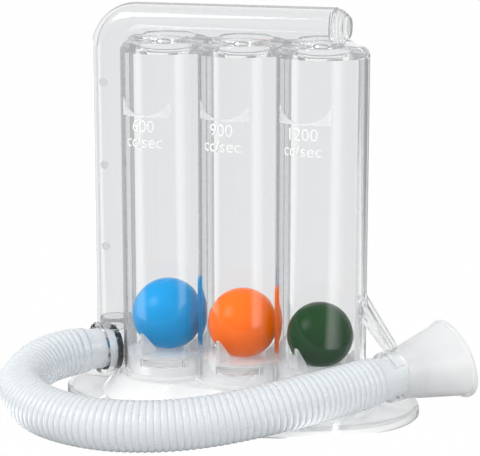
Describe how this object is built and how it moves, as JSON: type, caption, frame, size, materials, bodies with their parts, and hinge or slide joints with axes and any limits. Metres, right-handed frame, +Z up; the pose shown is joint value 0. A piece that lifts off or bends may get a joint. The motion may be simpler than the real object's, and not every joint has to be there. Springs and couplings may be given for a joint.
{
  "type": "incentive spirometer",
  "caption": "Clear flow incentive spirometer: chambers with rising balls on an oval foot, fed by a corrugated hose with a flared mouthpiece.",
  "frame": {"origin": "on the floor, under the middle of the oval foot", "axes": "+Z up, +X along the row of chambers away from the riser, -Y towards the marked front"},
  "size_m": [0.1773, 0.1288, 0.1561],
  "materials": {
    "clear_plastic": "clear, polished",
    "milky_plastic": "milky, smooth",
    "hose_plastic": "translucent bluish white, satin",
    "mouthpiece_plastic": "translucent white, satin",
    "seal_rubber": "matt black",
    "ball_blue": "smooth blue",
    "ball_orange": "smooth orange",
    "ball_green": "smooth dark green"
  },
  "bodies": {
    "stand": {"front_shell": "clear_plastic", "rear_shell": "clear_plastic", "header_cap": "clear_plastic", "foot": "milky_plastic", "port_socket": "clear_plastic", "port_seal": "seal_rubber", "hose_holder": "clear_plastic", "hose": "hose_plastic", "hose_port_sleeve": "hose_plastic", "hose_mouth_sleeve": "hose_plastic", "ball_seat_600": "clear_plastic", "ball_seat_900": "clear_plastic", "ball_seat_1200": "clear_plastic"},
    "blue_ball": {"ball_600_blue": "ball_blue"},
    "orange_ball": {"ball_900_orange": "ball_orange"},
    "green_ball": {"ball_1200_green": "ball_green"},
    "mouthpiece": {"mouthpiece": "mouthpiece_plastic"}
  },
  "joints": [
    {"name": "blue_ball_rise", "type": "slide", "parent": "stand", "child": "blue_ball", "axis": [0, 0, 1], "range_m": [0, 0.095]},
    {"name": "orange_ball_rise", "type": "slide", "parent": "stand", "child": "orange_ball", "axis": [0, 0, 1], "range_m": [0, 0.0965]},
    {"name": "green_ball_rise", "type": "slide", "parent": "stand", "child": "green_ball", "axis": [0, 0, 1], "range_m": [0, 0.0995]},
    {"name": "mouthpiece_pull", "type": "slide", "parent": "stand", "child": "mouthpiece", "axis": [0.6133, 0.785, 0.0872], "range_m": [0, 0.018]}
  ]
}
